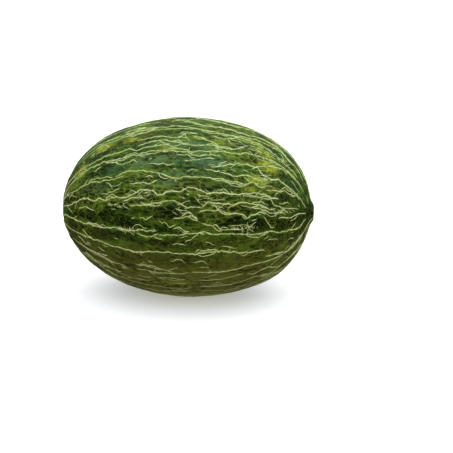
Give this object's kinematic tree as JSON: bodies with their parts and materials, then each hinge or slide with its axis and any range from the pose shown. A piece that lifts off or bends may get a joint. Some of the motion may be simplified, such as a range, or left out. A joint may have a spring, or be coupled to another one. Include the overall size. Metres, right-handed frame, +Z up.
{
  "type": "melon",
  "caption": "Whole oval melon with a netted green rind, lying on its side on a small flat spot, with a rounded blossom end and a low nub at the stem end.",
  "frame": {"origin": "middle of the flat spot underneath, where the melon rests, below the middle of its length", "axes": "+X along the fruit from the blossom end to the stem end, +Z up, away from what it rests on"},
  "size_m": [0.25, 0.179, 0.1775],
  "materials": {
    "rind": "satin",
    "net": "matte"
  },
  "bodies": {
    "root": {"melon": "rind"}
  },
  "joints": []
}
